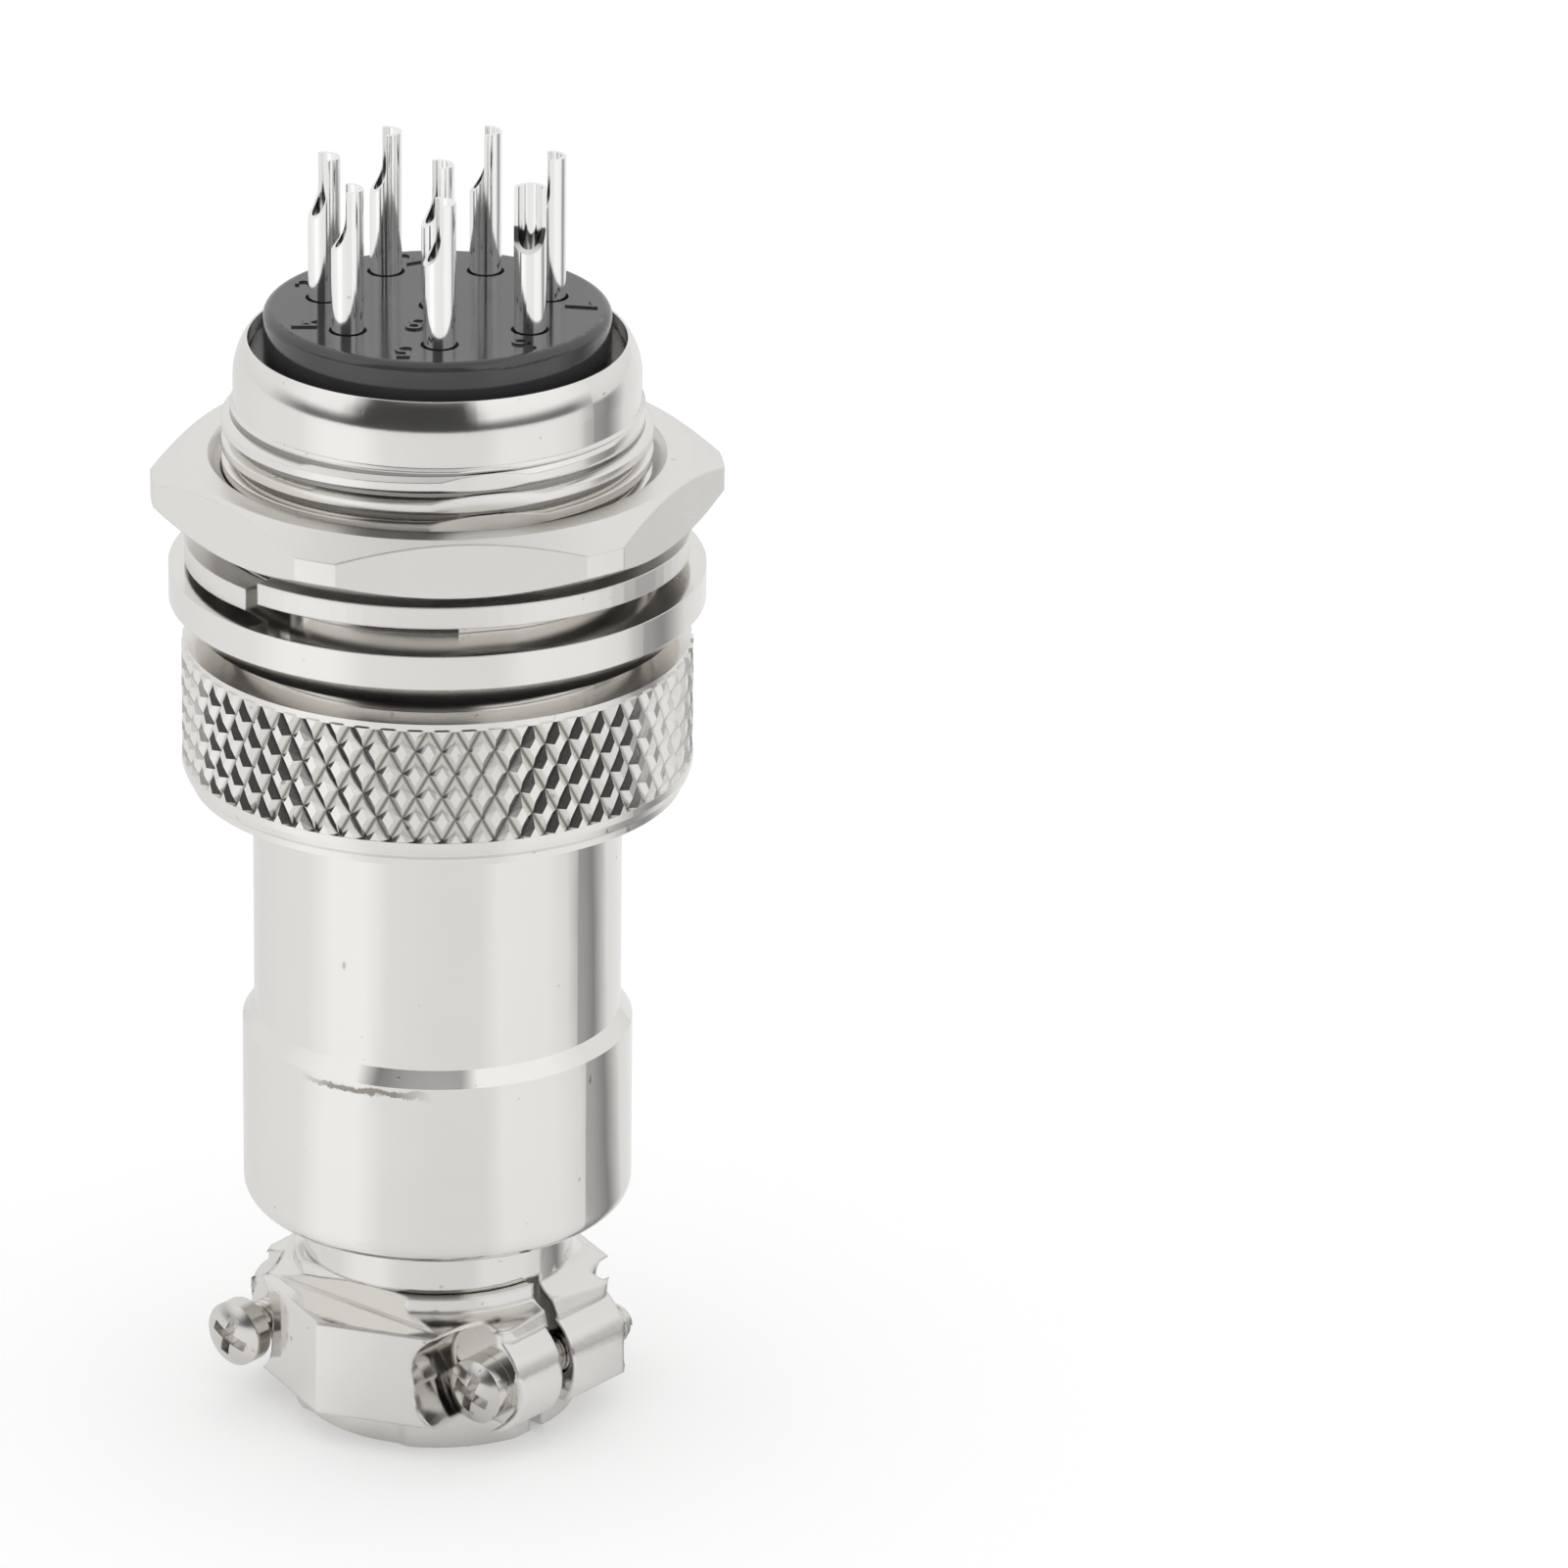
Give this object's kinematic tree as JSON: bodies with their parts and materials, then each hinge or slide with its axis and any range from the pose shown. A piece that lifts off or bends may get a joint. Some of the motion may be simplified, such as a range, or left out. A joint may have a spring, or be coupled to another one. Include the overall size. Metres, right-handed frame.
{
  "type": "circular connector, panel socket mated with cable plug",
  "caption": "Round metal multi-pin connector: threaded panel socket with nut and lock washer, screwed to a cable plug with a knurled ring and a two-screw cable clamp.",
  "frame": {"origin": "centre of the lower face of the cable clamp, where the cable enters", "axes": "+Z along the connector's axis from the cable clamp to the socket's solder cups; +Y from the loose half of the clamp to the fixed half; +X across the two clamp screws, to the right seen from the screw heads"},
  "size_m": [0.0262, 0.026, 0.0618],
  "materials": {
    "bright_nickel": "polished nickel plating",
    "satin_nickel": "turned and nickel plated",
    "cast_nickel": "die casting, nickel plated, slightly grainy",
    "screw_nickel": "nickel plated steel",
    "silver_contact": "bright plated brass",
    "black_insert": "glossy black thermoset"
  },
  "bodies": {
    "clamp": {"clamp_body": "cast_nickel"},
    "saddle": {"clamp_saddle": "cast_nickel"},
    "left_screw": {"clamp_screw_left": "screw_nickel"},
    "right_screw": {"clamp_screw_right": "screw_nickel"},
    "rear_shell": {"rear_shell": "bright_nickel"},
    "plug": {"plug_core_shell": "satin_nickel", "plug_insulator": "black_insert", "plug_snap_ring": "satin_nickel", "plug_contact_1": "silver_contact", "plug_contact_2": "silver_contact", "plug_contact_3": "silver_contact", "plug_contact_4": "silver_contact", "plug_contact_5": "silver_contact", "plug_contact_6": "silver_contact", "plug_contact_7": "silver_contact", "plug_contact_8": "silver_contact"},
    "ring": {"coupling_ring": "bright_nickel"},
    "socket": {"socket_shell": "satin_nickel", "socket_insulator": "black_insert", "socket_contact_1": "silver_contact", "socket_contact_2": "silver_contact", "socket_contact_3": "silver_contact", "socket_contact_4": "silver_contact", "socket_contact_5": "silver_contact", "socket_contact_6": "silver_contact", "socket_contact_7": "silver_contact", "socket_contact_8": "silver_contact"},
    "washer": {"lock_washer": "satin_nickel"},
    "nut": {"panel_nut": "satin_nickel"}
  },
  "joints": [
    {"name": "shell_turn", "type": "hinge", "parent": "clamp", "child": "rear_shell", "pos_m": [0, 0, 0.0103], "axis": [0, 0, 1], "range_deg": [-1440, 0]},
    {"name": "plug_travel", "type": "slide", "parent": "clamp", "child": "plug", "axis": [0, 0, 1], "range_m": [0, 0.004]},
    {"name": "ring_turn", "type": "hinge", "parent": "plug", "child": "ring", "pos_m": [0, 0, 0.0335], "axis": [0, 0, 1], "range_deg": [-1080, 270]},
    {"name": "socket_travel", "type": "slide", "parent": "plug", "child": "socket", "axis": [0, 0, 1], "range_m": [-0.00075, 0.003]},
    {"name": "nut_turn", "type": "hinge", "parent": "washer", "child": "nut", "pos_m": [0, 0, 0.0464], "axis": [0, 0, 1], "range_deg": [0, 1440]},
    {"name": "washer_travel", "type": "slide", "parent": "socket", "child": "washer", "axis": [0, 0, 1], "range_m": [0, 0.004]},
    {"name": "saddle_travel", "type": "slide", "parent": "clamp", "child": "saddle", "axis": [0, 1, 0], "range_m": [-0.001, 0.00085]},
    {"name": "right_screw_turn", "type": "hinge", "parent": "saddle", "child": "right_screw", "pos_m": [0.00645, 0, 0.0034], "axis": [0, 1, 0], "range_deg": [-900, 765]},
    {"name": "left_screw_travel", "type": "slide", "parent": "clamp", "child": "left_screw", "axis": [0, 1, 0], "range_m": [-0.0006, 0.0026]}
  ],
  "couplings": [
    {"joint": "plug_travel", "follows": "shell_turn", "m_per_rad": -0.00015915},
    {"joint": "socket_travel", "follows": "ring_turn", "m_per_rad": -0.00015915},
    {"joint": "washer_travel", "follows": "nut_turn", "m_per_rad": 0.00015915},
    {"joint": "right_screw_turn", "follows": "saddle_travel", "rad_per_m": 15708}
  ]
}
